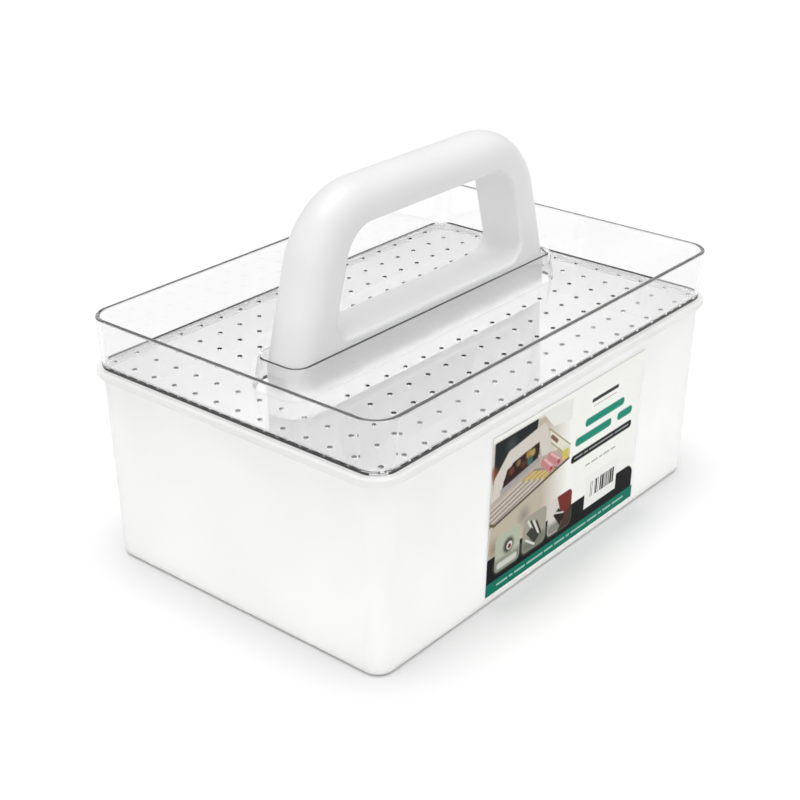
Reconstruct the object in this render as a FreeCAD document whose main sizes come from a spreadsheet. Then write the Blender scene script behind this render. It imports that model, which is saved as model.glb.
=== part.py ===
import FreeCAD, Part
import math
import os

import Sketcher

# A carry caddy for the bathroom. A drafted plastic bin with a rolled rim stands on its base. A hollow
# island is moulded along the middle of its floor and ends in a tenon. A hollow arched handle, made of a
# front and a rear half shell, is pushed over the tenon and held by catches. A clear perforated tray lies
# on the bin's rim; an open boss in its floor drops over the handle, so the tray lifts straight off.
#
# Frame: millimetres, +X along the length, +Y from front to back, +Z up. The origin is the centre of the
# base, on the surface that the bin stands on.

V = FreeCAD.Vector
doc = FreeCAD.newDocument("shower_caddy")

# ---------------------------------------------------------------- driving dimensions
SIZES = {
    # bin
    "bin_length": 256.4,  # over the walls at the rim, without the bead
    "bin_width": 173.2,
    "bin_height": 99.6,
    "bin_draft": 1.65,  # degrees that each wall leans out
    "bin_wall": 1.8,
    "bin_floor": 2.4,
    "bin_corner": 11.5,  # upright corners, at the rim
    "bin_base_round": 3.5,
    "foot_width": 9.0,  # ring that the base stands on
    "foot_recess": 0.8,
    "bead_out": 2.9,
    "bead_height": 5.0,
    "bead_top_round": 1.2,
    # island and tenon that carry the handle
    "island_drop": 11.6,  # from the bin's rim down to the island's top
    "island_draft": 1.2,
    "island_wall": 1.8,
    "tenon_height": 14.0,
    "socket_gap": 0.3,  # between the tenon and the handle around it
    "catch_width": 12.0,
    "catch_height": 3.0,
    "catch_out": 1.1,
    "catch_gap": 0.3,  # around a catch in its pocket
    "catch_level": 6.5,  # from the island's top up to the catch
    "catch_inset": 41.0,  # from the handle's end in to each catch
    # handle
    "handle_end": 32.2,  # from the bin's end wall in to the handle's foot
    "handle_half_depth": 12.6,
    "handle_lean": 14.9,  # degrees that each side leans in above the waist
    "waist_rise": 20.0,  # from the handle's foot up to where the lean begins
    "waist_radius": 30.0,
    "shoulder_radius": 43.5,
    "handle_wall": 2.2,
    "edge_flat": 0.2,  # flat left between the round outer edge and the seam
    "grip_height": 18.5,  # top bar, from the hand hole to the top
    "leg_width": 22.0,
    "hole_rise": 3.7,  # from the boss's rim up to the hand hole
    "hole_height": 50.5,
    "hole_top_corner": 18.0,
    "hole_bottom_corner": 9.0,
    "hole_edge_round": 1.6,
    "pin_radius": 2.0,
    "pin_gap": 0.15,
    "pin_length": 5.0,
    "pin_wall": 1.6,
    # tray
    "tray_height": 25.3,
    "tray_draft": 2.7,
    "tray_wall": 1.9,
    "tray_floor": 1.5,
    "tray_corner_less": 0.7,  # by how much the tray's foot is sharper at its corners than the bin
    "tray_inset": 0.1,  # tray's foot, inside the line of the bin's walls
    "tray_round": 0.5,  # on the foot and the rim
    "tray_floor_round": 1.2,
    "rib_depth": 3.0,  # locating rib under the tray
    "rib_wall": 1.4,
    "rib_gap": 0.6,  # between the rib and the bin's mouth
    "boss_height": 13.7,  # above the tray's floor
    "boss_draft": 9.0,
    "boss_wall": 1.3,
    "boss_gap": 0.45,  # between the boss's rim and the handle
    "boss_corner": 8.0,
    "drain_pitch": 13.27,
    "drain_radius": 1.2,
    "drain_margin": 3.0,  # least flat left around a drain hole
    # label
    "label_length": 123.5,
    "label_thickness": 0.2,
    "label_offset": 9.6,  # label's middle, to the right of the bin's
    "label_bottom": 5.8,
    "label_top_gap": 6.3,  # between the label and the bead
    "sticker_length": 28.0,
    "sticker_height": 17.7,
    "sticker_thickness": 0.15,
    "sticker_offset": 30.8,  # sticker's middle, to the right of the label's
    "sticker_rise": 12.0,  # from the label's lower edge up to the sticker
}

# Sizes that follow from the ones above, so that what fits together stays together.
DERIVED = {
    "island_height": "bin_height - island_drop",
    "handle_half_length": "0.5 * bin_length - handle_end",
    "handle_waist": "island_height + waist_rise",
    "catch_spread": "handle_half_length - catch_inset",
    "tray_foot_corner": "bin_corner - tray_corner_less",
    "boss_rim": "bin_height + tray_floor + boss_height",
    "hole_bottom": "boss_rim + hole_rise",
    "hole_top": "hole_bottom + hole_height",
    "handle_top": "hole_top + grip_height",
    "label_height": "bin_height - bead_height - label_bottom - label_top_gap",
}

sheet = doc.addObject("Spreadsheet::Sheet", "sizes")
cells = [(alias, str(number)) for alias, number in SIZES.items()]
cells += [(alias, "=" + formula) for alias, formula in DERIVED.items()]
for row, (alias, content) in enumerate(cells, start=1):
    sheet.set("A%d" % row, alias)
    sheet.set("B%d" % row, content)
    sheet.setAlias("B%d" % row, alias)
    doc.recompute()


def size(alias):
    """A size in millimetres or degrees, read back from the sheet."""
    return float(sheet.get(alias))


def slope(alias):
    """How far a wall with this draft leans out over each millimetre of height."""
    return math.tan(math.radians(size(alias)))


# ---------------------------------------------------------------- helpers
def origin_plane(body, role):
    return next(plane for plane in body.Origin.OriginFeatures if plane.Role == role)


def new_body(label):
    body = doc.addObject("PartDesign::Body", label)
    body.Label = label
    return body


def new_sketch(body, name, role, offset=None):
    """An empty sketch on one of the body's origin planes, moved off it by an expression."""
    sketch = body.newObject("Sketcher::SketchObject", name)
    sketch.AttachmentSupport = [(origin_plane(body, role), "")]
    sketch.MapMode = "FlatFace"
    if offset:
        sketch.setExpression("AttachmentOffset.Base.z", offset)
    doc.recompute()
    return sketch


def add_rounded_rectangle(sketch, length, width, corner):
    """A rectangle with round corners about the origin, its sizes bound to three expressions."""
    half_x = 0.5 * float(sketch.evalExpression(length))
    half_y = 0.5 * float(sketch.evalExpression(width))
    radius = float(sketch.evalExpression(corner))
    first = sketch.GeometryCount
    arcs = []
    for side_x, side_y, start in [(1, -1, -90), (1, 1, 0), (-1, 1, 90), (-1, -1, 180)]:
        centre = V(side_x * (half_x - radius), side_y * (half_y - radius), 0)
        circle = Part.Circle(centre, V(0, 0, 1), radius)
        arcs.append(Part.ArcOfCircle(circle, math.radians(start), math.radians(start + 90)))
    for k in range(4):
        sketch.addGeometry(Part.LineSegment(arcs[k - 1].EndPoint, arcs[k].StartPoint), False)
        sketch.addGeometry(arcs[k], False)
    for k in range(0, 8, 2):
        line = first + k
        following = first + (k + 2) % 8
        sketch.addConstraint(Sketcher.Constraint("Tangent", line, 2, line + 1, 1))
        sketch.addConstraint(Sketcher.Constraint("Tangent", line + 1, 2, following, 1))
    for k in (0, 4):
        sketch.addConstraint(Sketcher.Constraint("Horizontal", first + k))
        sketch.addConstraint(Sketcher.Constraint("Vertical", first + k + 2))
    for k in (3, 5, 7):
        sketch.addConstraint(Sketcher.Constraint("Equal", first + 1, first + k))
    sketch.addConstraint(Sketcher.Constraint("Symmetric", first, 1, first + 4, 1, -1, 1))
    bound = [
        (Sketcher.Constraint("DistanceX", first + 6, 1, first + 2, 1, 2 * half_x), length),
        (Sketcher.Constraint("DistanceY", first, 1, first + 4, 1, 2 * half_y), width),
        (Sketcher.Constraint("Radius", first + 1, radius), corner),
    ]
    for constraint, expression in bound:
        index = sketch.addConstraint(constraint)
        sketch.setExpression("Constraints[%d]" % index, expression)


def plan(body, name, length, width, corner, height=None):
    """A round-cornered rectangle that lies flat at a height."""
    sketch = new_sketch(body, name, "XY_Plane", height)
    add_rounded_rectangle(sketch, length, width, corner)
    return sketch


def add_polygon(sketch, points):
    """A closed outline of straight lines through points given in the sketch's own plane."""
    corners = [V(across, height, 0) for across, height in points]
    for k, corner in enumerate(corners):
        sketch.addGeometry(Part.LineSegment(corners[k - 1], corner), False)


def pad(body, name, sketch, length, taper=None, down=False):
    feature = body.newObject("PartDesign::Pad", name)
    feature.Profile = sketch
    feature.Reversed = down
    feature.setExpression("Length", length)
    if taper:
        feature.setExpression("TaperAngle", taper)
    doc.recompute()
    return feature


def pocket(body, name, sketch, length, taper=None, up=False):
    """A pocket, checked to have taken something away."""
    before = body.Shape.Volume
    feature = body.newObject("PartDesign::Pocket", name)
    feature.Profile = sketch
    feature.Reversed = up
    feature.setExpression("Length", length)
    if taper:
        feature.setExpression("TaperAngle", taper)
    doc.recompute()
    if feature.Shape.Volume > before - 1e-3:
        raise RuntimeError("%s cuts nothing" % name)
    return feature


def fillet(body, name, base, radius, wanted):
    """Round the edges of a feature that the test picks."""
    numbered = enumerate(base.Shape.Edges, start=1)
    picked = ["Edge%d" % number for number, edge in numbered if wanted(edge)]
    if not picked:
        raise RuntimeError("%s rounds nothing" % name)
    feature = body.newObject("PartDesign::Fillet", name)
    feature.Base = (base, picked)
    feature.setExpression("Radius", radius)
    doc.recompute()
    return feature


def lies_at(edge, height):
    box = edge.BoundBox
    return abs(box.ZMin - height) < 0.02 and abs(box.ZMax - height) < 0.02


def outside(edge, half_length, half_width):
    """Whether an edge stays outside a rectangle about the origin."""
    first = edge.FirstParameter
    middle = edge.valueAt(0.5 * (first + edge.LastParameter))
    return abs(middle.x) > half_length or abs(middle.y) > half_width


# ---------------------------------------------------------------- bin
def make_bin():
    body = new_body("bin")
    lean = "sizes.bin_height * tan(sizes.bin_draft)"
    base = plan(body, "bin_base", "sizes.bin_length - 2 * " + lean, "sizes.bin_width - 2 * " + lean,
                "sizes.bin_corner - " + lean)
    walls = pad(body, "bin_walls", base, "sizes.bin_height", "sizes.bin_draft")
    fillet(body, "bin_base_edge", walls, "sizes.bin_base_round", lambda edge: lies_at(edge, 0))

    # The rolled rim stands out from the walls: small round above, large round underneath.
    ring = plan(body, "bead_plan", "sizes.bin_length + 2 * sizes.bead_out",
                "sizes.bin_width + 2 * sizes.bead_out", "sizes.bin_corner + sizes.bead_out",
                "sizes.bin_height - sizes.bead_height")
    bead = pad(body, "bin_bead", ring, "sizes.bead_height")
    half_length = 0.5 * (size("bin_length") + size("bead_out"))
    half_width = 0.5 * (size("bin_width") + size("bead_out"))
    under = size("bin_height") - size("bead_height")
    bead = fillet(body, "bead_under", bead, "0.9 * sizes.bead_out",
                  lambda edge: lies_at(edge, under) and outside(edge, half_length, half_width))
    fillet(body, "bead_top", bead, "sizes.bead_top_round",
           lambda edge: lies_at(edge, size("bin_height")) and outside(edge, half_length, half_width))

    mouth = plan(body, "bin_mouth", "sizes.bin_length - 2 * sizes.bin_wall",
                 "sizes.bin_width - 2 * sizes.bin_wall", "sizes.bin_corner - sizes.bin_wall",
                 "sizes.bin_height")
    inside = pocket(body, "bin_inside", mouth, "sizes.bin_height - sizes.bin_floor",
                    "-sizes.bin_draft")
    fillet(body, "bin_floor_edge", inside, "sizes.bin_base_round - 0.5 * sizes.bin_wall",
           lambda edge: lies_at(edge, size("bin_floor")))

    # The island runs down from the handle's foot, growing with its draft; its core is open below.
    top = plan(body, "island_top", "2 * sizes.handle_half_length", "2 * sizes.handle_half_depth",
               "sizes.handle_half_depth - sizes.edge_flat", "sizes.island_height")
    pad(body, "island", top, "sizes.island_height - 0.5 * sizes.bin_floor", "sizes.island_draft",
        down=True)
    core = plan(body, "island_core_plan", "2 * (sizes.handle_half_length - sizes.island_wall)",
                "2 * (sizes.handle_half_depth - sizes.island_wall)",
                "sizes.handle_half_depth - sizes.edge_flat - sizes.island_wall",
                "sizes.island_height - sizes.island_wall")
    pocket(body, "island_core", core, "sizes.island_height - sizes.island_wall",
           "sizes.island_draft")

    # A ring-shaped tenon with four catches stands on the island.
    inset = "sizes.handle_wall - sizes.socket_gap"
    tenon = plan(body, "tenon_plan", "2 * (sizes.handle_half_length - %s)" % inset,
                 "2 * (sizes.handle_half_depth - %s)" % inset,
                 "sizes.handle_half_depth - sizes.edge_flat - %s" % inset, "sizes.island_height")
    pad(body, "tenon", tenon, "sizes.tenon_height")
    face = size("handle_half_depth") - size("handle_wall") - size("socket_gap")
    tip = face + size("catch_out")
    foot = size("island_height") + size("catch_level")
    head = foot + size("catch_height")
    wedge = [(0.9 * face, foot), (tip, foot), (tip, 0.6 * foot + 0.4 * head), (face, head)]
    wedge.append((0.9 * face, head))
    for side, sign in (("left", "-"), ("right", "")):
        sketch = new_sketch(body, "catch_plan_" + side, "YZ_Plane", sign + "sizes.catch_spread")
        for turn in (-1, 1):
            add_polygon(sketch, [(turn * across, height) for across, height in wedge])
        catch = pad(body, "catch_" + side, sketch, "sizes.catch_width")
        catch.Midplane = True
    bore = plan(body, "tenon_bore_plan", "2 * (sizes.handle_half_length - %s - sizes.island_wall)" % inset,
                "2 * (sizes.handle_half_depth - %s - sizes.island_wall)" % inset,
                "sizes.handle_half_depth - sizes.edge_flat - %s - sizes.island_wall" % inset,
                "sizes.island_height + sizes.tenon_height")
    pocket(body, "tenon_bore", bore, "sizes.tenon_height")

    foot_inset = "(sizes.bin_base_round + sizes.foot_width + %s)" % lean
    sole = plan(body, "sole_plan", "sizes.bin_length - 2 * " + foot_inset,
                "sizes.bin_width - 2 * " + foot_inset, "sizes.foot_width")
    pocket(body, "sole", sole, "sizes.foot_recess", up=True)
    return body


# ---------------------------------------------------------------- handle
def loop_centres():
    """Centres of the arcs of the handle's outline and of its hand hole, right half, in X and Z."""
    lean = math.radians(size("handle_lean"))
    across, up = math.cos(lean), math.sin(lean)
    waist = (size("handle_half_length") - size("waist_radius"), size("handle_waist"))
    # The leaning side is the line across * x + up * z = reach.
    reach = across * waist[0] + up * waist[1] + size("waist_radius")

    def tucked(height, distance):
        """A centre at this height whose distance to the leaning side is given."""
        return ((reach - distance - up * height) / across, height)

    shoulder = tucked(size("handle_top") - size("shoulder_radius"), size("shoulder_radius"))
    high = size("hole_top_corner")
    low = size("hole_bottom_corner")
    hole_high = tucked(size("hole_top") - high, size("leg_width") + high)
    hole_low = tucked(size("hole_bottom") + low, size("leg_width") + low)
    return waist, shoulder, hole_high, hole_low


def arc_about(centre, radius, start, end):
    circle = Part.Circle(V(centre[0], centre[1], 0), V(0, 0, 1), radius)
    return Part.ArcOfCircle(circle, math.radians(start), math.radians(end))


def mirrored(centre):
    return (-centre[0], centre[1])


def front_sketch(name):
    """A free sketch whose X and Y lie along the model's X and Z, facing the front."""
    sketch = doc.addObject("Sketcher::SketchObject", name)
    sketch.Placement = FreeCAD.Placement(V(0, 0, 0), FreeCAD.Rotation(V(1, 0, 0), 90))
    return sketch


def outline_sketch(name, inset=0.0):
    """The arch seen from the front, or the same arch moved inwards and run out past its foot."""
    waist, shoulder, hole_high, hole_low = loop_centres()
    lean = size("handle_lean")
    waist_radius = size("waist_radius") - inset
    shoulder_radius = size("shoulder_radius") - inset
    foot = size("island_height") - inset
    half = size("handle_half_length") - inset
    corners = [V(-half, foot, 0), V(half, foot, 0)]
    arcs = [
        arc_about(waist, waist_radius, 0, lean),
        arc_about(shoulder, shoulder_radius, lean, 90),
        arc_about(mirrored(shoulder), shoulder_radius, 90, 180 - lean),
        arc_about(mirrored(waist), waist_radius, 180 - lean, 180),
    ]
    sketch = front_sketch(name)
    ends = [arc.StartPoint for arc in arcs[1:]] + [corners[0]]
    for arc, end in zip(arcs, ends):
        sketch.addGeometry(arc, False)
        sketch.addGeometry(Part.LineSegment(arc.EndPoint, end), False)
    sketch.addGeometry(Part.LineSegment(corners[0], corners[1]), False)
    sketch.addGeometry(Part.LineSegment(corners[1], arcs[0].StartPoint), False)
    doc.recompute()
    return sketch


def hole_sketch(name, outset=0.0):
    """The hand hole seen from the front, or the same hole made wider all round."""
    waist, shoulder, hole_high, hole_low = loop_centres()
    lean = size("handle_lean")
    high = size("hole_top_corner") + outset
    low = size("hole_bottom_corner") + outset
    arcs = [
        arc_about(hole_low, low, -90, lean),
        arc_about(hole_high, high, lean, 90),
        arc_about(mirrored(hole_high), high, 90, 180 - lean),
        arc_about(mirrored(hole_low), low, 180 - lean, 270),
    ]
    sketch = front_sketch(name)
    for arc, following in zip(arcs, arcs[1:] + arcs[:1]):
        sketch.addGeometry(arc, False)
        sketch.addGeometry(Part.LineSegment(arc.EndPoint, following.StartPoint), False)
    doc.recompute()
    return sketch


def extrude(name, sketch, depth, way):
    """Push a front sketch back or forth from the middle plane, by an expression."""
    solid = doc.addObject("Part::Extrusion", name)
    solid.Base = sketch
    solid.DirMode = "Custom"
    solid.Dir = V(0, way, 0)
    solid.Solid = True
    solid.setExpression("LengthFwd", depth)
    doc.recompute()
    return solid


def round_edges(name, base, radius, wanted):
    """A Part fillet on the edges that the test picks."""
    solid = doc.addObject("Part::Fillet", name)
    solid.Base = base
    numbered = enumerate(base.Shape.Edges, start=1)
    solid.Edges = [(number, radius, radius) for number, edge in numbered if wanted(edge)]
    doc.recompute()
    return solid


def cut(name, base, tool):
    solid = doc.addObject("Part::Cut", name)
    solid.Base = base
    solid.Tool = tool
    doc.recompute()
    return solid


def fuse(name, pieces):
    solid = doc.addObject("Part::MultiFuse", name)
    solid.Shapes = pieces
    doc.recompute()
    return solid


def rod(name, spot, start, end, radius):
    """A cylinder along Y between two depths, at a spot given in X and Z."""
    solid = doc.addObject("Part::Cylinder", name)
    solid.setExpression("Radius", radius)
    solid.Height = abs(end - start)
    turn = FreeCAD.Rotation(V(1, 0, 0), -90 if end > start else 90)
    solid.Placement = FreeCAD.Placement(V(spot[0], start, spot[1]), turn)
    return solid


def flat_at(edge, depth):
    """Whether an edge lies in the plane at this depth along Y."""
    box = edge.BoundBox
    return abs(box.YMin - depth) < 0.02 and abs(box.YMax - depth) < 0.02


def pin_spots():
    """Where pins join the shells: in each leg, in the grip and below the hand hole."""
    waist, shoulder, hole_high, hole_low = loop_centres()
    leg_height = 0.5 * (hole_high[1] + hole_low[1])
    lean = math.radians(size("handle_lean"))
    hole_side = hole_low[0] + (size("hole_bottom_corner") / math.cos(lean))
    hole_side -= (leg_height - hole_low[1]) * math.tan(lean)
    leg = hole_side + 0.5 * size("leg_width") / math.cos(lean)
    grip = size("handle_top") - 0.5 * size("grip_height")
    tenon_top = size("island_height") + size("tenon_height")
    low = 0.5 * (tenon_top + size("hole_bottom") - size("handle_wall"))
    right = [(leg, leg_height), (0.7 * shoulder[0], grip), (0.7 * hole_low[0], low)]
    return right + [mirrored(spot) for spot in right]


def make_shell(label, way, arch, hole, core, core_hole):
    """One half of the handle, hollow behind its face; way is -1 for the front, 1 for the rear."""
    depth = size("handle_half_depth")
    wall = size("handle_wall")
    face = way * depth
    back = way * (depth - wall)
    clear_of_foot = size("island_height") + 1.0

    def round_outside(edge):
        return flat_at(edge, face) and edge.BoundBox.ZMax > clear_of_foot

    def round_hole(edge):
        box = edge.BoundBox
        above = box.ZMin > size("hole_bottom") - 1.0
        return flat_at(edge, face) and above and box.ZMax < size("hole_top") + 1.0

    block = extrude(label + "_block", arch, "sizes.handle_half_depth", way)
    block = round_edges(label + "_round", block, depth - size("edge_flat"), round_outside)
    window = extrude(label + "_window", hole, "sizes.handle_half_depth", way)
    frame = cut(label + "_frame", block, window)
    frame = round_edges(label + "_soft", frame, size("hole_edge_round"), round_hole)

    inner_depth = "sizes.handle_half_depth - sizes.handle_wall"
    hollow = extrude(label + "_hollow", core, inner_depth, way)
    hollow = round_edges(label + "_hollow_round", hollow, depth - wall - size("edge_flat"),
                         lambda edge: flat_at(edge, back) and edge.BoundBox.ZMax > clear_of_foot)
    keep = extrude(label + "_keep", core_hole, inner_depth, way)
    ring = cut(label + "_ring", hollow, keep)
    shell = cut(label + "_shell", frame, ring)

    # Recesses behind the face take the tenon's catches.
    for number, side in enumerate((-1, 1)):
        recess = doc.addObject("Part::Box", "%s_recess_%d" % (label, number))
        recess.setExpression("Length", "sizes.catch_width + 2 * sizes.catch_gap")
        recess.setExpression("Height", "sizes.catch_height + 2 * sizes.catch_gap")
        recess.setExpression("Width", "sizes.catch_out - sizes.socket_gap + sizes.catch_gap + 1")
        low = size("island_height") + size("catch_level") - size("catch_gap")
        left = side * size("catch_spread") - 0.5 * size("catch_width") - size("catch_gap")
        deep = depth - wall - size("socket_gap") + size("catch_out") + size("catch_gap")
        near = -deep if way < 0 else depth - wall - 1.0
        recess.Placement.Base = V(left, near, low)
        shell = cut("%s_caught_%d" % (label, number), shell, recess)

    # Posts from the face to the seam carry the pins in front and their sockets behind.
    collar = "sizes.pin_radius + sizes.pin_gap + sizes.pin_wall"
    posts = []
    pins = []
    bores = []
    for number, spot in enumerate(pin_spots()):
        posts.append(rod("%s_post_%d" % (label, number), spot, face, 0, collar))
        if way < 0:
            pins.append(rod("%s_pin_%d" % (label, number), spot, -1.0, size("pin_length"),
                            "sizes.pin_radius"))
        else:
            bores.append(rod("%s_bore_%d" % (label, number), spot, 0,
                             size("pin_length") + 2 * size("pin_gap"),
                             "sizes.pin_radius + sizes.pin_gap"))
    trimmed = doc.addObject("Part::Common", label + "_posts")
    trimmed.Base = fuse(label + "_rough_posts", posts)
    trimmed.Tool = frame
    shell = fuse(label + "_posted", [shell, trimmed] + pins)
    if bores:
        shell = cut(label + "_socketed", shell, fuse(label + "_bores", bores))
    shell.Label = label
    return shell


def make_handle():
    arch = outline_sketch("arch_plan")
    hole = hole_sketch("hole_plan")
    core = outline_sketch("core_plan", size("handle_wall"))
    core_hole = hole_sketch("core_hole_plan", size("handle_wall"))
    return [
        make_shell("handle_front", -1, arch, hole, core, core_hole),
        make_shell("handle_rear", 1, arch, hole, core, core_hole),
    ]


# ---------------------------------------------------------------- tray
def make_tray():
    body = new_body("tray")
    lean = "sizes.tray_height * tan(sizes.tray_draft)"
    foot_length = "(sizes.bin_length - 2 * sizes.tray_inset)"
    foot_width = "(sizes.bin_width - 2 * sizes.tray_inset)"
    foot = plan(body, "tray_foot", foot_length, foot_width, "sizes.tray_foot_corner",
                "sizes.bin_height")
    walls = pad(body, "tray_walls", foot, "sizes.tray_height", "sizes.tray_draft")
    fillet(body, "tray_foot_edge", walls, "sizes.tray_round",
           lambda edge: lies_at(edge, size("bin_height")))
    wide = " + 2 * %s - 2 * sizes.tray_wall" % lean
    mouth = plan(body, "tray_mouth", foot_length + wide, foot_width + wide,
                 "sizes.tray_foot_corner + %s - sizes.tray_wall" % lean,
                 "sizes.bin_height + sizes.tray_height")
    inside = pocket(body, "tray_inside", mouth, "sizes.tray_height - sizes.tray_floor",
                    "-sizes.tray_draft")
    floor = size("bin_height") + size("tray_floor")
    rim = size("bin_height") + size("tray_height")
    inside = fillet(body, "tray_floor_edge", inside, "sizes.tray_floor_round",
                    lambda edge: lies_at(edge, floor))
    fillet(body, "tray_rim", inside, "sizes.tray_round", lambda edge: lies_at(edge, rim))

    # The boss grows downwards with its draft; its bore clears the handle by the boss gap.
    boss_rise = "sizes.boss_height + sizes.tray_floor"
    inner = "2 * (sizes.handle_half_%s + sizes.boss_gap)"
    outer = "2 * (sizes.handle_half_%s + sizes.boss_gap + sizes.boss_wall)"
    boss = plan(body, "boss_plan", outer % "length", outer % "depth", "sizes.boss_corner",
                "sizes.boss_rim")
    pad(body, "boss", boss, boss_rise, "sizes.boss_draft", down=True)
    bore = plan(body, "boss_bore_plan", inner % "length", inner % "depth",
                "sizes.boss_corner - sizes.boss_wall", "sizes.boss_rim")
    pocket(body, "boss_bore", bore, boss_rise, "sizes.boss_draft")

    # A rib under the floor drops inside the bin's mouth.
    reach = "sizes.bin_%s - 2 * sizes.bin_wall - 2 * sizes.rib_gap"
    corner = "sizes.bin_corner - sizes.bin_wall - sizes.rib_gap"
    rib = plan(body, "rib_plan", reach % "length", reach % "width", corner, "sizes.bin_height")
    add_rounded_rectangle(rib, reach % "length" + " - 2 * sizes.rib_wall",
                          reach % "width" + " - 2 * sizes.rib_wall", corner + " - sizes.rib_wall")
    pad(body, "rib", rib, "sizes.rib_depth", down=True)
    add_drains(body)
    return body


def add_drains(body):
    """A square grid of drain holes over the floor, left out where the boss stands."""
    pitch = size("drain_pitch")
    clear = size("drain_radius") + size("drain_margin")
    boss_growth = (size("boss_height") + size("tray_floor")) * slope("boss_draft")
    wall = size("tray_wall") + size("tray_inset")
    columns = int((0.5 * size("bin_length") - wall - clear) / pitch)
    rows = int((0.5 * size("bin_width") - wall - clear) / pitch)
    rim = size("boss_gap") + size("boss_wall") + boss_growth
    boss_length = size("handle_half_length") + rim + size("drain_radius")
    boss_depth = size("handle_half_depth") + rim + size("drain_radius")
    sketch = new_sketch(body, "drain_plan", "XY_Plane", "sizes.bin_height + sizes.tray_floor")
    for column in range(-columns, columns + 1):
        for row in range(-rows, rows + 1):
            spot = V(column * pitch, row * pitch, 0)
            if abs(spot.x) > boss_length or abs(spot.y) > boss_depth:
                sketch.addGeometry(Part.Circle(spot, V(0, 0, 1), size("drain_radius")), False)
    print("drain holes:", sketch.GeometryCount, "in", 2 * columns + 1, "by", 2 * rows + 1)
    pocket(body, "drains", sketch, "sizes.tray_floor + 0.5")


# ---------------------------------------------------------------- label and sticker
def make_film(label, length, height, thickness, middle, rise, standoff):
    """A thin film that lies along the bin's leaning front wall, a standoff away from it."""
    film = doc.addObject("Part::Box", label)
    film.Label = label
    film.setExpression("Length", "sizes." + length)
    film.setExpression("Height", "sizes." + height)
    film.setExpression("Width", "sizes." + thickness)
    lean = math.radians(size("bin_draft"))
    foot = 0.5 * size("bin_width") - size("bin_height") * math.tan(lean)
    up = V(0, -math.sin(lean), math.cos(lean))
    out = V(0, -math.cos(lean), -math.sin(lean))
    corner = V(middle - 0.5 * size(length), -foot, 0) + up * rise + out * (standoff + size(thickness))
    film.Placement = FreeCAD.Placement(corner, FreeCAD.Rotation(V(1, 0, 0), size("bin_draft")))
    return film


def make_labels():
    rise = size("label_bottom") / math.cos(math.radians(size("bin_draft")))
    label_middle = size("label_offset")
    return [
        make_film("label", "label_length", "label_height", "label_thickness", label_middle, rise, 0.0),
        make_film("code_sticker", "sticker_length", "sticker_height", "sticker_thickness",
                  label_middle + size("sticker_offset"), rise + size("sticker_rise"),
                  size("label_thickness")),
    ]


# ---------------------------------------------------------------- build and write
def check(pieces):
    for item in doc.Objects:
        if "Invalid" in item.State or "Error" in item.State:
            raise RuntimeError("%s failed: %s" % (item.Name, item.State))
    for piece in pieces:
        shape = piece.Shape
        if shape.isNull() or not shape.isValid() or len(shape.Solids) != 1:
            raise RuntimeError("%s is not one valid solid" % piece.Label)


def main():
    pieces = [make_bin(), make_tray()] + make_handle() + make_labels()
    doc.recompute()
    check(pieces)
    os.makedirs("parts", exist_ok=True)
    for piece in pieces:
        piece.Shape.exportStep(os.path.join("parts", piece.Label + ".step"))
        box = piece.Shape.optimalBoundingBox(False, False)
        reach = (box.XMin, box.XMax, box.YMin, box.YMax, box.ZMin, box.ZMax)
        print("%-14s %9.1f mm3 " % (piece.Label, piece.Shape.Volume), ["%.2f" % v for v in reach])


main()
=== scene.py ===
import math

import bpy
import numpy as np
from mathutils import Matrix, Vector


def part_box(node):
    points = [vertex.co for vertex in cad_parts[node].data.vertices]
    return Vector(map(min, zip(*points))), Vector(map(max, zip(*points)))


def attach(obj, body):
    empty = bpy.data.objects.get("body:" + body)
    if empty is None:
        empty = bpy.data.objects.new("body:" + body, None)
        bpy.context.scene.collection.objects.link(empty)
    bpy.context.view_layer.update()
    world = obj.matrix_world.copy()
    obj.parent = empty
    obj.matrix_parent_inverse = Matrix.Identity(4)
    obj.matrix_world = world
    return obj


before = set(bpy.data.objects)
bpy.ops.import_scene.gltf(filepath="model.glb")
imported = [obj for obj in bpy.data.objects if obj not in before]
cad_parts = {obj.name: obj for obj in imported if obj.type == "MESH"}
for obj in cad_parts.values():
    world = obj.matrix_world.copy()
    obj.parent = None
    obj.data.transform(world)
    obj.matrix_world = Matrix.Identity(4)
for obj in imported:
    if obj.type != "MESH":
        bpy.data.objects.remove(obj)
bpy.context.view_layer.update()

# %% [markdown]
# # A carry caddy for the bathroom
# The caddy is four moulded pieces and two glued ones: a white bin with a rolled rim, an arched handle in
# two half shells, a clear perforated tray that lifts off over the handle, a film label and a paper sticker.
# The shapes come from the CAD frame. What is made here is what the eye judges: each plastic, the print on
# the label, a pale floor and soft light. Everything is in metres: +X along the length, -Y to the front and
# +Z up.

MM = 0.001
WHITE = (1.0, 1.0, 1.0, 1.0)
scene = bpy.context.scene


def linear(hex_code):
    """An sRGB hex colour as linear red, green, blue and 1: over 12.92 if dark, else to the power of 2.4."""
    values = np.array([int(hex_code[k:k + 2], 16) / 255 for k in (1, 3, 5)])
    bright = ((values + 0.055) / 1.055) ** 2.4
    return (*np.where(values > 0.04045, bright, values / 12.92).tolist(), 1.0)


# %% [markdown]
# ## One helper for nodes
# A material is a small graph. Adding a node, setting its sockets and linking what feeds it is always the
# same three steps, so one function does them. A socket takes either a plain value or another node's output.
# A colour mix takes its share in socket 0 and its two colours in sockets 6 and 7, and gives output 2.

# %% Start a material, and add a node to it


def start_material(name):
    """An empty material with an output node; returns the material, its nodes' tree and the output."""
    material = bpy.data.materials.new(name)
    material.use_nodes = True
    tree = material.node_tree
    tree.nodes.clear()
    return material, tree, tree.nodes.new("ShaderNodeOutputMaterial")


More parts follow.
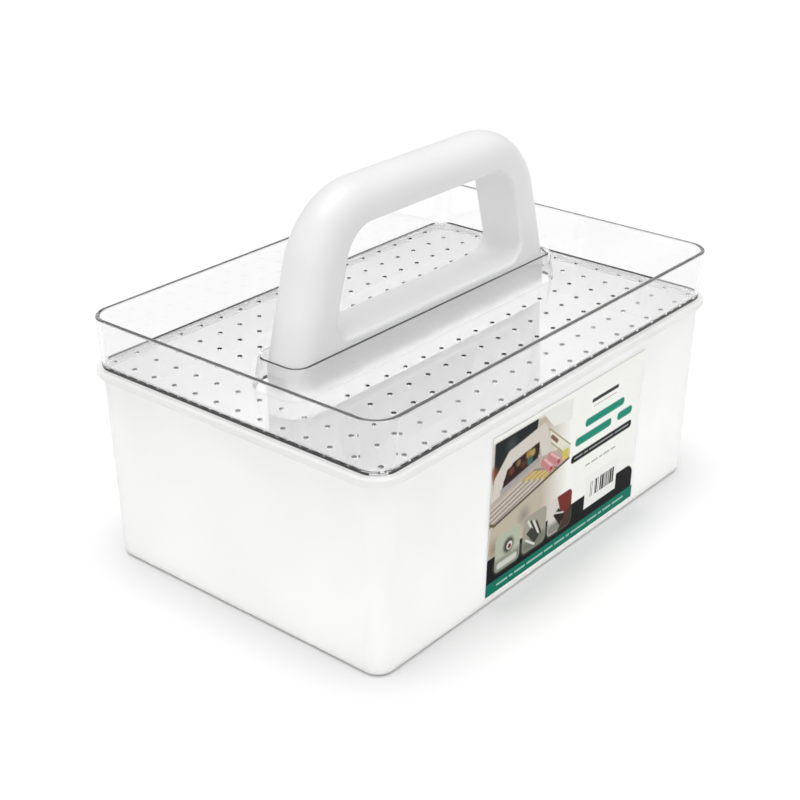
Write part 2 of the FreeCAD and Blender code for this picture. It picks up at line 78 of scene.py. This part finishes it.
def add_node(tree, kind, sockets=None, **settings):
    """A node of this kind, its own settings made, and each named or numbered socket set or linked."""
    node = tree.nodes.new("ShaderNode" + kind)
    for key, value in settings.items():
        setattr(node, key, value)
    for key, value in (sockets or {}).items():
        if isinstance(value, bpy.types.NodeSocket):
            tree.links.new(value, node.inputs[key])
        else:
            node.inputs[key].default_value = value
    return node


def clothe(piece, material):
    """Put the one material in every slot of a piece."""
    piece.data.materials.clear()
    piece.data.materials.append(material)


print("CAD nodes to clothe:", sorted(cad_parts))

# %% [markdown]
# ## White bin: injection moulded polypropylene
# The bin is natural polypropylene with white pigment. The mould is blasted, so the skin is satin, with a
# very fine grain and long soft shading where the wall sinks a few hundredths of a millimetre. A little light
# passes through the 1.8 mm wall, so it has subsurface scattering. Grain of 0.25 mm is drawn at 0.6 mm,
# because the real one is too fine to show. The inner skin is painted a tone lighter: painted light, for the
# light that comes into the bin through the clear tray. A mask in the material finds it by distance from the
# outer faces, which keeps the bin one piece. What it gives the eye: a soft, even white with no sharp
# reflection.

# %% The bin's own sizes, and a mask for its inner side, which is painted lighter
# The walls lean out up to the rim, where their corners have this radius and the bead stands out this far.
BIN_LEAN = math.radians(1.65)
BIN_WALL = 1.8 * MM
RIM_HEIGHT = 99.6 * MM
BEAD = 2.9 * MM
CORNER = 11.5 * MM
bin_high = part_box("bin")[1]
CORNER_CENTRE = (bin_high.x - BEAD - CORNER, bin_high.y - BEAD - CORNER, 0)


def inner_side_painted_lighter(tree, place):
    """1 on the bin's inner side, which is painted lighter, 0 on its outer side.

    The plan is folded into one quarter, and the distance past the centre of that quarter's corner arc is
    compared with the arc's radius less half a wall. The walls lean, so the radius grows with the height.
    """
    flat = add_node(tree, "VectorMath", {0: place, 1: (1, 1, 0)}, operation="MULTIPLY").outputs[0]
    folded = add_node(tree, "VectorMath", {0: flat}, operation="ABSOLUTE").outputs[0]
    past = add_node(tree, "VectorMath", {0: folded, 1: CORNER_CENTRE}, operation="SUBTRACT").outputs[0]
    past = add_node(tree, "VectorMath", {0: past, 1: (0, 0, 0)}, operation="MAXIMUM").outputs[0]
    reach = add_node(tree, "VectorMath", {0: past}, operation="LENGTH").outputs["Value"]
    height = add_node(tree, "SeparateXYZ", {0: place}).outputs["Z"]
    at_base = CORNER - RIM_HEIGHT * math.tan(BIN_LEAN) - 0.5 * BIN_WALL
    radius = add_node(tree, "Math", {0: height, 1: math.tan(BIN_LEAN), 2: at_base},
                      operation="MULTIPLY_ADD").outputs[0]
    within = add_node(tree, "Math", {0: reach, 1: radius}, operation="LESS_THAN").outputs[0]
    over_base = add_node(tree, "Math", {0: height, 1: 0.5 * BIN_WALL}, operation="GREATER_THAN").outputs[0]
    return add_node(tree, "Math", {0: within, 1: over_base}, operation="MULTIPLY").outputs[0]


print("centre of a corner arc, in metres:", CORNER_CENTRE)

# %% Moulded polypropylene, white for the bin
GRAIN = 0.6 * MM
SINK = 45 * MM
SKIN_DEPTH = 8 * MM


def moulded_polypropylene(name, colour, shade, roughness, painted_light_zone, painted_tone, below_skin):
    """Satin plastic with fine grain and slow sink waves.

    Its colour drifts towards a shade, and one zone takes a lighter painted tone, as painted light. The last
    value is the share of the scattered light that goes in below the skin and comes out beside where it went
    in.
    """
    material, tree, output = start_material(name)
    place = add_node(tree, "TexCoord").outputs["Object"]
    grain = add_node(tree, "TexNoise", {"Vector": place, "Scale": 1 / GRAIN, "Detail": 2.0}).outputs[0]
    sink = add_node(tree, "TexNoise", {"Vector": place, "Scale": 1 / SINK, "Detail": 1.0}).outputs[0]
    drift = add_node(tree, "MapRange", {"Value": sink, "From Min": 0.35, "From Max": 0.7})
    tone = add_node(tree, "Mix", {0: drift.outputs[0], 6: linear(colour), 7: linear(shade)},
                    data_type="RGBA")
    # The zone is painted in a lighter tone: painted light.
    tone = add_node(tree, "Mix", {0: painted_light_zone(tree, place), 6: tone.outputs[2], 7: linear(painted_tone)},
                    data_type="RGBA")
    gloss = add_node(tree, "MapRange", {"Value": grain, "To Min": roughness - 0.04,
                                        "To Max": roughness + 0.05})
    waves = add_node(tree, "Bump", {"Height": sink, "Strength": 0.15, "Distance": 0.4 * MM})
    skin = add_node(tree, "Bump", {"Height": grain, "Normal": waves.outputs[0], "Strength": 0.12,
                                   "Distance": 0.03 * MM})
    shader = add_node(tree, "BsdfPrincipled", {
        "Base Color": tone.outputs[2], "Roughness": gloss.outputs[0], "Normal": skin.outputs[0],
        "IOR": 1.49, "Subsurface Weight": below_skin, "Subsurface Radius": (1.0, 1.0, 1.0),
        "Subsurface Scale": SKIN_DEPTH})
    tree.links.new(shader.outputs[0], output.inputs["Surface"])
    return material


# The inner side is painted #FDFDFD, lighter than the outside: painted light for what comes in through the
# tray.
white_polypropylene = moulded_polypropylene(
    "polypropylene_white_moulded_satin", colour="#DCDCDB", shade="#D8D8D7", roughness=0.38,
    painted_light_zone=inner_side_painted_lighter, painted_tone="#FDFDFD", below_skin=1.0)
clothe(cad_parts["bin"], white_polypropylene)
print("made", white_polypropylene.name)

# %% [markdown]
# ## Frosted handle
# The handle is the same plastic without pigment, so it is milky. Light could be passed through the two
# shells as rough glass, but inside a hollow closed shell most of it is lost and the handle turns grey. So
# the surface stays plain, and the height sets a painted light: greyer on the grip, lighter on the foot, for
# the glow through the plastic and off the white bin. What it gives the eye: a wide soft highlight on a
# pale, greyish arch.

# %% Frosted polypropylene
FULL_PAINTED_LIGHT_TO, UNPAINTED_FROM = 135 * MM, 175 * MM


def foot_painted_lighter(tree, place):
    """1 low on the handle, where it is painted lighter, fading to 0 up to the grip."""
    height = add_node(tree, "SeparateXYZ", {0: place}).outputs["Z"]
    return add_node(tree, "MapRange", {"Value": height, "From Min": FULL_PAINTED_LIGHT_TO, "From Max": UNPAINTED_FROM,
                                       "To Min": 1.0, "To Max": 0.0}).outputs[0]


# The foot is painted #F8F8F8, lighter than the grip: painted light for the glow through the plastic and off
# the bin.
frosted_polypropylene = moulded_polypropylene(
    "polypropylene_natural_moulded_frosted", colour="#EAEAEA", shade="#E6E6E6", roughness=0.34,
    painted_light_zone=foot_painted_lighter, painted_tone="#F8F8F8", below_skin=0.0)
for name in ("handle_front", "handle_rear"):
    clothe(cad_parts[name], frosted_polypropylene)
print("made", frosted_polypropylene.name)

# %% [markdown]
# ## Clear tray: moulded polystyrene
# General-purpose polystyrene is as clear as glass, with an index of refraction of 1.59. It looks clear
# through a 2 mm wall and grey along an edge, where the eye looks through centimetres of it, so the material
# has a thin absorption inside. At the foot, where the tray sits on the rim, its outer millimetre is painted
# near black: painted shade for the dark gap of the joint. The lip is left satin by the mould's parting edge,
# so the line along it is softer. Lamps cast no hard shadow of it: a shadow ray passes through. What it gives
# the eye: thin dark lines that draw the tray, and nearly nothing between them.

# %% Where the tray is painted dark, and where it is satin
# The tray's floor lies on the rim. TRAY_EDGE is where the band of painted shade begins, and LIP is measured
# up from it.
TRAY_FLOOR = 1.5 * MM
SHADOW_BAND_DEPTH = 1.0 * MM
LIP_HEIGHT = 0.8 * MM
LIP_ROUGHNESS = 0.5
TRAY_EDGE = (bin_high.x - BEAD - SHADOW_BAND_DEPTH, bin_high.y - BEAD - SHADOW_BAND_DEPTH, RIM_HEIGHT + TRAY_FLOOR)
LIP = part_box("tray")[1].z - TRAY_EDGE[2] - LIP_HEIGHT
print("satin lip from", round((LIP + TRAY_EDGE[2]) / MM, 1), "mm up")

# %% Clear polystyrene
FLOW = 30 * MM
clear_polystyrene, tree, output = start_material("polystyrene_clear_moulded_polished")
place = add_node(tree, "TexCoord").outputs["Object"]
flow = add_node(tree, "TexNoise", {"Vector": place, "Scale": 1 / FLOW, "Detail": 1.0}).outputs[0]
ripple = add_node(tree, "Bump", {"Height": flow, "Strength": 0.1, "Distance": 0.1 * MM})
haze = add_node(tree, "MapRange", {"Value": flow, "To Min": 0.01, "To Max": 0.05})
folded = add_node(tree, "VectorMath", {0: place}, operation="ABSOLUTE").outputs[0]
past = add_node(tree, "VectorMath", {0: folded, 1: TRAY_EDGE}, operation="SUBTRACT").outputs[0]
sides = add_node(tree, "SeparateXYZ", {0: past})
outer = add_node(tree, "Math", {0: sides.outputs["X"], 1: sides.outputs["Y"]},
                 operation="MAXIMUM").outputs[0]
at_edge = add_node(tree, "Math", {0: outer, 1: 0.0}, operation="GREATER_THAN").outputs[0]
low = add_node(tree, "Math", {0: sides.outputs["Z"], 1: 0.0}, operation="LESS_THAN").outputs[0]
lip = add_node(tree, "Math", {0: sides.outputs["Z"], 1: LIP}, operation="GREATER_THAN").outputs[0]
satin = add_node(tree, "Math", {0: lip, 1: LIP_ROUGHNESS, 2: haze.outputs[0]},
                 operation="MULTIPLY_ADD").outputs[0]
# The foot's outer millimetre is painted near black: painted shade for the dark joint on the rim.
painted_shadow_band = add_node(tree, "Math", {0: at_edge, 1: low}, operation="MULTIPLY").outputs[0]
painted_tone = add_node(tree, "Mix", {0: painted_shadow_band, 6: linear("#F9F9F9"), 7: linear("#040404")}, data_type="RGBA")
glass = add_node(tree, "BsdfPrincipled", {
    "Base Color": painted_tone.outputs[2], "Roughness": satin, "IOR": 1.59,
    "Transmission Weight": 1.0, "Normal": ripple.outputs[0]})
see_through = add_node(tree, "BsdfTransparent", {"Color": WHITE})
rays = add_node(tree, "LightPath")
surface = add_node(tree, "MixShader", {0: rays.outputs["Is Shadow Ray"], 1: glass.outputs[0],
                                       2: see_through.outputs[0]})
inside = add_node(tree, "VolumeAbsorption", {"Color": linear("#DCDDDD"), "Density": 5.0})
tree.links.new(surface.outputs[0], output.inputs["Surface"])
tree.links.new(inside.outputs[0], output.inputs["Volume"])
clothe(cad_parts["tray"], clear_polystyrene)
print("made", clear_polystyrene.name)

# %% [markdown]
# ## The film label and its print
# The label is a gloss polypropylene film, glued on. Its print could be many small shapes laid on each other,
# or a picture file; here it is painted by formula. A grid of points covers the film, every shape is a signed
# distance that is negative inside it, and each shape in turn covers the colour below it where its distance
# is under zero. The colour goes into an attribute called ink. The print is a generic one: no words, only
# bars where words would be. What it gives the eye: a small busy picture, and two dark bands below it.

# %% The label's place on the wall, from its CAD box
FILM = 0.2 * MM
film_low, film_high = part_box("label")
# The lower and upper edges of its front face, one film's thickness square out from the leaning wall.
film_foot = np.array([film_low.x, film_high.y - FILM * math.cos(BIN_LEAN), film_low.z])
film_head = np.array([film_low.x, film_low.y, film_high.z - FILM * math.sin(BIN_LEAN)])
WIDE = (film_high.x - film_low.x) / MM
TALL = float(np.linalg.norm(film_head - film_foot)) / MM
up = (film_head - film_foot) / (TALL * MM)
outward = np.array([0.0, -up[2], up[1]])
print("label in mm: %.1f wide, %.1f tall" % (WIDE, TALL))

# %% Shapes as signed distances, in mm from the label's upper left corner
COLUMNS, ROWS = 310, 208
across, down = np.meshgrid(np.linspace(0, WIDE, COLUMNS), np.linspace(0, TALL, ROWS))
SOFT_EDGE = 0.35
FILM_WHITE = "#FCFDF8"
BAR_GAP, BAR_CORNER = 1.2, 0.45


def block(left, top, right, bottom, corner=0.0):
    """Distance to a rectangle with round corners: from the corner's centre outwards, less its radius."""
    past_x = np.abs(across - 0.5 * (left + right)) - 0.5 * (right - left) + corner
    past_y = np.abs(down - 0.5 * (top + bottom)) - 0.5 * (bottom - top) + corner
    outside = np.hypot(np.maximum(past_x, 0), np.maximum(past_y, 0))
    return outside + np.minimum(np.maximum(past_x, past_y), 0) - corner


def stroke(start, end, thick):
    """Distance to a thick line with round ends: to the line's nearest point, less half its thickness."""
    run_x, run_y = end[0] - start[0], end[1] - start[1]
    along = ((across - start[0]) * run_x + (down - start[1]) * run_y) / (run_x ** 2 + run_y ** 2)
    along = np.clip(along, 0, 1)
    return np.hypot(across - start[0] - along * run_x, down - start[1] - along * run_y) - 0.5 * thick


def patch(*corners):
    """Distance to a convex outline given clockwise: the largest distance past any one of its sides."""
    sides = []
    for (x0, y0), (x1, y1) in zip(corners, corners[1:] + corners[:1]):
        reach = math.hypot(x1 - x0, y1 - y0)
        sides.append(((across - x0) * (y1 - y0) - (down - y0) * (x1 - x0)) / reach)
    return np.maximum.reduce(sides)


def paint(distance, colour, strength=1.0, soft=SOFT_EDGE):
    """Cover the ink where the distance is under zero, with a soft edge this many mm wide."""
    share = (strength * np.clip(0.5 - distance / soft, 0, 1))[..., None]
    ink[:] = ink * (1 - share) + np.array(linear(colour)[:3]) * share


def words(left, top, right, bottom, colour, lengths):
    """A line of print as plain bars: the lengths share out the line, with equal gaps between them.

    Gaps and round corners are shares of the bar's height.
    """
    gap = BAR_GAP * (bottom - top)
    scale = (right - left - gap * (len(lengths) - 1)) / sum(lengths)
    for length in lengths:
        paint(block(left, top, left + scale * length, bottom, BAR_CORNER * (bottom - top)), colour)
        left += scale * length + gap


ink = np.ones((ROWS, COLUMNS, 3)) * np.array(linear(FILM_WHITE)[:3])
print("ink grid:", ink.shape)

# %% The picture: a caddy with rods and rolls on it, in front of a soft background
picture = block(0, 3, 62, 63)
paint(picture, "#C4B9A6", 1.0 - np.clip((across - 40) / 22, 0, 1), 3.0)
paint(np.hypot(across - 27, down - 50) - 2, "#5E6165", 0.8, 9.0)
paint(np.hypot(across - 4, down - 58) - 3, "#7C5F45", 0.7, 9.0)
paint(patch((1.5, 3), (34, 3), (33, 12), (20, 24), (1.5, 30)), "#1B2224")
paint(np.hypot(across - 14, down - 8) - 1, "#56605F", 0.8, 9.0)
paint(stroke((0.5, 17), (2.5, 20), 5), "#8E4A30", 0.8, 3.0)
paint(patch((33.8, 3), (62, 3), (62, 28), (47, 12), (33, 10)), "#F0F1EB")
for start, end in (((4.5, 36), (5.5, 23)), ((5.5, 23), (14, 14.5)), ((14, 14.5), (38, 11)),
                   ((38, 11), (43, 25))):
    paint(stroke(start, end, 7.5), "#D9D3C9")
paint(patch((8, 28.5), (11.5, 20), (24, 17), (35.5, 15.5), (35.5, 24)), "#2B1710")
for spot, size, colour in (((15, 22), 2.0, "#6B3A25"), ((20, 20), 1.6, "#8A6A48"),
                           ((28, 18.6), 2.2, "#A8874C"), ((31, 19), 1.8, "#B9A35A"),
                           ((29, 22.4), 2.2, "#3C6B62"), ((24, 22), 1.8, "#5A3322")):
    paint(np.hypot(across - spot[0], down - spot[1]) - size, colour, 0.9, 1.2)
paint(stroke((35.5, 16), (36, 22), 0.9), "#1E1D18")
paint(patch((0, 33), (36, 24), (62, 27), (62, 35), (3, 47), (0, 46)), "#BCAFA2")
paint(patch((7, 28.6), (36, 23.5), (37, 26), (7, 32)), "#A9A4A4")
for number in range(9):
    start, end = (0, 36.4 + 1.25 * number), (24 + 2.2 * number, 31.0 + 0.75 * number)
    paint(stroke(start, end, 0.7), "#8F857A" if number % 2 else "#D7CDBF")
    tip = (end[0] + 9, end[1] - 1.6)
    paint(stroke(end, tip, 0.75), "#E0C25C" if number % 2 else "#B99A3F")
    paint(stroke(tip, (tip[0] + 1.5, tip[1] - 0.3), 0.6), "#33241B")
for start, end in (((40.5, 28), (47, 34)), ((45.5, 27), (53, 32.8))):
    paint(stroke(start, end, 4.6), "#C9878A")
    paint(stroke((start[0] + 0.8, start[1] - 1), (end[0] + 0.6, end[1] - 1.2), 1.2), "#EAC4C2", 0.9, 0.8)
    paint(np.hypot(across - end[0], down - end[1]) - 1.1, "#9C4C4C")
paint(patch((44, 12), (62, 27), (61, 34), (55.5, 29), (46, 21)), "#E9E4D2", 0.9)
paint(stroke((43.5, 12), (62, 27.4), 0.5), "#8B7B3C")
paint(stroke((45.5, 20), (56, 29), 0.5), "#A08A3A")
paint(stroke((46, 17), (50.5, 21), 2.0), "#6E3A26", 0.9)
paint(block(56, 28.5, 61, 34, 0.8), "#D9C558")
paint(stroke((3.5, 45.6), (61.5, 34.6), 1.3), "#544A40")
paint(stroke((0, 43.5), (3.5, 45.6), 1.4), "#6A5639")
print("mean ink of the picture:", ink[picture < 0].mean(0).round(2))

# %% Bands, three small panels, and bars in place of words
NAVY_TOP, GREEN_TOP = 62.3, 75.8
PANEL_TOP, PANEL_LOW, PANEL_CORNER = 52.8, 72.4, 3.0
paint(block(-9, NAVY_TOP, WIDE - 1.2, TALL + 9, 6.0), "#0A0B10")
paint(block(-9, GREEN_TOP, WIDE + 9, TALL + 9), "#007A63")
words(8, 78.6, 115.5, 79.6, "#A9D3C6", [6, 2, 6, 9, 5, 6, 2, 9, 6, 2, 5, 7])
for left, right, ground in ((5.8, 25.0, "#B9BFAC"), (27.2, 45.9, "#A7A494"), (47.6, 67.0, "#DDD6D0")):
    panel = block(left, PANEL_TOP, right, PANEL_LOW, PANEL_CORNER)
    paint(panel, ground)
    paint(np.maximum(panel, 66 - down), "#6F7466", 0.8, 3.0)
# The first panel holds a round pot above a pale strip.
paint(np.hypot(across - 16, down - 61) - 4.0, "#2A2723", 0.9, 2.0)
paint(np.hypot(across - 16.8, down - 61.6) - 2.2, "#E4DCD8")
paint(np.hypot(across - 16.8, down - 62) - 1.3, "#8C2A30")
paint(block(7.5, 67.6, 23, 71, 1.2), "#DDE0D6", 0.9, 1.0)
# The second holds a fan of bars above a dark board.
for number in range(4):
    paint(stroke((31 + 2.3 * number, 55.6 + 0.9 * number), (36 + 2.0 * number, 63.4 + 1.0 * number), 1.2),
          "#33352F" if number % 2 else "#E3E3DC")
paint(patch((30, 62), (34, 60), (41, 67), (37, 70)), "#3B3D36")
paint(stroke((30, 65.5), (37, 70.4), 1.1), "#E5E7E2")
# The third, which the loop left in panel, holds two slanted fields behind a dark board.
paint(np.maximum(panel, 57 - across + 0.35 * (down - 60)), "#7A2A22")
paint(np.maximum(panel, 60 - across + 0.9 * (68 - down)), "#4A352B")
paint(patch((52, 62), (56, 59.5), (62, 65), (58, 70)), "#231A18")
paint(stroke((53.4, 61.2), (60.4, 63.6), 0.8), "#E8DFDC")
# The right half holds bars for a name, a title in green, a dark strip and a last small line.
words(78.5, 10.2, 101.5, 12.2, "#3A3B3B", [1])
words(80.0, 14.2, 100.0, 14.6, "#9A9B98", [3, 4])
words(74.0, 19.4, 108.0, 23.6, "#128F76", [1])
words(66.4, 26.8, 116.0, 31.2, "#128F76", [7, 3])
paint(block(63.8, 35.2, 116.6, 39.4, 1.8), "#15181A")
words(66.5, 36.9, 114.0, 37.7, "#9FA5A4", [4, 2, 12, 7])
words(77.0, 45.0, 103.5, 45.8, "#9D9E9A", [3, 4, 2, 4, 3])
print("share of the label left white:", round(float((ink.min(-1) > 0.9).mean()), 2))

# %% The print as a thin closed slab over the film
INK = 0.03 * MM
SUNK = 0.05 * MM


def slab(name):
    """The grid of the label's points, INK in front of the film, closed by four sides and a back.

    A point is the film's foot, plus its way along X and up the film, plus INK outwards. The back is SUNK
    into the film, so no gap shows round the edge.
    """
    along, rise = across.ravel() * MM, (TALL - down.ravel()) * MM
    front = film_foot + along[:, None] * np.array([1.0, 0, 0]) + rise[:, None] * up + INK * outward
    number = np.arange(COLUMNS * ROWS).reshape(ROWS, COLUMNS)
    faces = np.stack([number[:-1, :-1], number[1:, :-1], number[1:, 1:], number[:-1, 1:]], -1).reshape(-1, 4)
    ends = number[[0, -1, -1, 0], [0, 0, -1, -1]]
    back = front[ends] - (INK + SUNK) * outward
    top_left, low_left, low_right, top_right = range(COLUMNS * ROWS, COLUMNS * ROWS + 4)
    closing = [
        [*number[0], top_right, top_left],
        [*number[-1, ::-1], low_left, low_right],
        [*number[::-1, 0], top_left, low_left],
        [*number[:, -1], low_right, top_right],
        [top_left, top_right, low_right, low_left],
    ]
    closing = [[int(point) for point in side] for side in closing]
    mesh = bpy.data.meshes.new(name)
    mesh.from_pydata(np.vstack([front, back]).tolist(), [], faces.tolist() + closing)
    colours = np.ones((len(front) + 4, 4))
    colours[:len(front), :3] = ink.reshape(-1, 3)
    mesh.attributes.new("ink", "FLOAT_COLOR", "POINT").data.foreach_set("color", colours.ravel())
    piece = bpy.data.objects.new(name, mesh)
    scene.collection.objects.link(piece)
    return piece


label_print = slab("label_print")
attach(label_print, "caddy")
print("label print:", len(label_print.data.polygons), "faces")

# %% [markdown]
# ## Gloss film
# The film is offset-printed and laminated: even gloss, and a fine printing screen that shows as speckle. The
# screen's real pitch is near 0.15 mm; it is drawn at 0.5 mm to show at all. The glue below is not quite
# even, so the gloss waves over a finger's width. Each ink could be a material of its own, but then every
# edge in the print would need its own faces; one material that reads the ink attribute does for all of them.
# What it gives the eye: clear, even colours with hardly any glare on them, next to the softer white wall.

# %% Printed film
SCREEN = 0.5 * MM
GLUE = 18 * MM


def gloss_film(name, colour):
    """Laminated film: this colour, or the ink if it is None, under a faint screen and slow glue waves."""
    material, tree, output = start_material(name)
    place = add_node(tree, "TexCoord").outputs["Object"]
    speckle = add_node(tree, "TexNoise", {"Vector": place, "Scale": 1 / SCREEN, "Detail": 0.0}).outputs[0]
    screen = add_node(tree, "MapRange", {"Value": speckle, "To Min": 0.94, "To Max": 1.04})
    if colour is None:
        colour = add_node(tree, "Attribute", attribute_name="ink").outputs["Color"]
    tone = add_node(tree, "VectorMath", {0: colour, "Scale": screen.outputs[0]}, operation="SCALE")
    glue = add_node(tree, "TexNoise", {"Vector": place, "Scale": 1 / GLUE, "Detail": 1.0}).outputs[0]
    waves = add_node(tree, "Bump", {"Height": glue, "Strength": 0.2, "Distance": 0.2 * MM})
    gloss = add_node(tree, "MapRange", {"Value": glue, "To Min": 0.2, "To Max": 0.3})
    shader = add_node(tree, "BsdfPrincipled", {
        "Base Color": tone.outputs[0], "Roughness": gloss.outputs[0], "IOR": 1.5,
        "Specular IOR Level": 0.04, "Normal": waves.outputs[0]})
    tree.links.new(shader.outputs[0], output.inputs["Surface"])
    return material


clothe(label_print, gloss_film("polypropylene_film_printed_laminated", None))
clothe(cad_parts["label"], gloss_film("polypropylene_film_white", linear(FILM_WHITE)[:3]))
print("made", label_print.active_material.name, "and the plain film below it")

# %% [markdown]
# ## Sticker: uncoated paper
# The sticker is a small piece of uncoated paper with a row of bars printed by a ribbon. A picture of bars
# would have to be drawn and kept; here the place along the row is cut into steps of one bar, and a random
# value for each step says whether it is dark. They stand for no number. What it gives the eye: a dull white
# patch, clearly apart from the satin wall.

# %% The field of bars
BAR = 0.42 * MM
LIGHT_SHARE = 0.45
LEFT_MARGIN, RIGHT_MARGIN, LOW_MARGIN, TOP_MARGIN = 4.1 * MM, 2.5 * MM, 5.2 * MM, 4.0 * MM
sticker_low, sticker_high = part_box("code_sticker")
FIELD_X = (sticker_low.x + LEFT_MARGIN, sticker_high.x - RIGHT_MARGIN)
FIELD_Z = (sticker_low.z + LOW_MARGIN, sticker_high.z - TOP_MARGIN)


def between(tree, value, limits):
    """1 where the value lies between two limits: the product of two comparisons."""
    above = add_node(tree, "Math", {0: value, 1: limits[0]}, operation="GREATER_THAN").outputs[0]
    below = add_node(tree, "Math", {0: value, 1: limits[1]}, operation="LESS_THAN").outputs[0]
    return add_node(tree, "Math", {0: above, 1: below}, operation="MULTIPLY").outputs[0]


print("steps along the row of bars:", round((FIELD_X[1] - FIELD_X[0]) / BAR))

# %% Sticker paper with its bars
FIBRE = 0.8 * MM
sticker_paper, tree, output = start_material("paper_white_ribbon_printed")
place = add_node(tree, "TexCoord").outputs["Object"]
axes = add_node(tree, "SeparateXYZ", {0: place})
step = add_node(tree, "Math", {0: axes.outputs["X"], 1: BAR}, operation="SNAP")
code = add_node(tree, "TexWhiteNoise", {"W": step.outputs[0]}, noise_dimensions="1D").outputs["Value"]
bars = add_node(tree, "Math", {0: code, 1: LIGHT_SHARE}, operation="GREATER_THAN").outputs[0]
in_row = between(tree, axes.outputs["X"], FIELD_X)
in_height = between(tree, axes.outputs["Z"], FIELD_Z)
field = add_node(tree, "Math", {0: in_row, 1: in_height}, operation="MULTIPLY").outputs[0]
dark = add_node(tree, "Math", {0: field, 1: bars}, operation="MULTIPLY").outputs[0]
fibre = add_node(tree, "TexNoise", {"Vector": place, "Scale": 1 / FIBRE, "Detail": 2.0}).outputs[0]
white = add_node(tree, "Mix", {0: fibre, 6: linear("#FBFBF8"), 7: linear("#F1F1EE")}, data_type="RGBA")
tone = add_node(tree, "Mix", {0: dark, 6: white.outputs[2], 7: linear("#1C1C1A")}, data_type="RGBA")
tooth = add_node(tree, "Bump", {"Height": fibre, "Strength": 0.2, "Distance": 0.03 * MM})
sheet = add_node(tree, "BsdfPrincipled", {"Base Color": tone.outputs[2], "Roughness": 0.7,
                                          "Normal": tooth.outputs[0]})
tree.links.new(sheet.outputs[0], output.inputs["Surface"])
clothe(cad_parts["code_sticker"], sticker_paper)
print("made", sticker_paper.name)

# %% [markdown]
# ## Floor: a sheet of matt paper
# The floor is one wide plane of white paper, under the caddy and far past it. A sheet that curves up behind
# would hide the horizon, but the backdrop is made as bright as the floor, so a plane is enough. It belongs
# to the stage and not to the caddy. What it gives the eye: nothing but the soft contact shadow.

# %% Floor
FLOOR_HALF = 6.0
corners = [(x * FLOOR_HALF, y * FLOOR_HALF, 0) for x, y in ((-1, -1), (1, -1), (1, 1), (-1, 1))]
floor_mesh = bpy.data.meshes.new("floor")
floor_mesh.from_pydata(corners, [], [(0, 1, 2, 3)])
floor = bpy.data.objects.new("floor", floor_mesh)
scene.collection.objects.link(floor)
paper, tree, output = start_material("paper_white_matt")
sheet = add_node(tree, "BsdfPrincipled", {"Base Color": linear("#F6F6F6"), "Roughness": 0.9,
                                          "Specular IOR Level": 0.1})
tree.links.new(sheet.outputs[0], output.inputs["Surface"])
clothe(floor, paper)
print("floor half size in metres:", FLOOR_HALF)

# %% [markdown]
# ## Light: a tent, a ceiling softbox and a low front fill
# White plastic needs light from all round, or its faces go grey. A dome gives most of it, a little more
# from above. A wide softbox overhead fills the inside of the bin through the clear tray and leaves a shadow
# on every side. A low and wide fill from the front lifts the upright faces and hardly touches the floor, so
# the shadow stays. Wide sun lamps stand for the softboxes, because they light the floor evenly.

# %% Softboxes
SOFTBOXES = {
    # name: (the direction it shines from, watts per square metre, how wide it looks in degrees)
    "ceiling_softbox": ((-0.05, 0.0, 1.3), 2.1, 50),
    "front_softbox": ((-0.66, -0.7, 0.12), 0.62, 60),
}
for name, (source, power, spread) in SOFTBOXES.items():
    lamp = bpy.data.lights.new(name, "SUN")
    lamp.energy = power
    lamp.angle = math.radians(spread)
    softbox = bpy.data.objects.new(name, lamp)
    scene.collection.objects.link(softbox)
    softbox.matrix_world = Vector(source).to_track_quat("Z", "Y").to_matrix().to_4x4()
    print(name, "from", source, "power", power)

# %% [markdown]
# ## Dome and exposure
# The dome's light grows from the horizon up to a height of one half, which is 30 degrees, and stays the same
# above. The camera sees the backdrop brighter than the dome: two to the power of minus the exposure comes
# out as plain white. Light crosses the tray's many walls, so it may bounce more often than by default.

# %% Dome and exposure
HORIZON, ZENITH, ZENITH_FROM = 0.5, 0.58, 0.5
EXPOSURE = -0.13
BACKDROP = 2 ** -EXPOSURE
world = bpy.data.worlds.new("soft_studio")
scene.world = world
world.use_nodes = True
sky = world.node_tree
aim = add_node(sky, "TexCoord").outputs["Generated"]
height = add_node(sky, "SeparateXYZ", {0: aim}).outputs["Z"]
dome = add_node(sky, "MapRange", {"Value": height, "From Max": ZENITH_FROM, "To Min": HORIZON,
                                  "To Max": ZENITH})
seen = add_node(sky, "LightPath").outputs["Is Camera Ray"]
strength = add_node(sky, "Mix", {0: seen, 2: dome.outputs[0], 3: BACKDROP})
sky.links.new(strength.outputs[0], sky.nodes["Background"].inputs["Strength"])
sky.nodes["Background"].inputs["Color"].default_value = WHITE
scene.view_settings.view_transform = "Standard"
scene.view_settings.exposure = EXPOSURE
scene.cycles.max_bounces = 24
scene.cycles.diffuse_bounces = 12
scene.cycles.transmission_bounces = 16
scene.cycles.transparent_max_bounces = 16
print("dome strength:", HORIZON, "to", ZENITH)

# %% [markdown]
# ## Camera
# The camera stands to the left of the front, about 26 degrees up, three quarters of a metre away. Its place
# and its three axes were solved from the tray's square grid of drain holes, and are given as they came out.

# %% Camera
STAND = (-0.53425, -0.43466, 0.39549)
RIGHT = (0.63906681, -0.76915069, -0.00091308)
DOWN = (-0.33660829, -0.27861106, -0.89948359)
FORWARD = (0.69158403, 0.57513746, -0.43695358)
eye = bpy.data.cameras.new("camera")
eye.lens = 69.63
eye.sensor_width = 36.0
camera = bpy.data.objects.new("camera", eye)
scene.collection.objects.link(camera)
axes = np.array([RIGHT, -np.array(DOWN), -np.array(FORWARD)]).T
camera.matrix_world = Matrix.Translation(STAND) @ Matrix(axes.tolist()).to_4x4()
scene.camera = camera
print("lens:", eye.lens, "mm on a sensor of", eye.sensor_width, "mm")
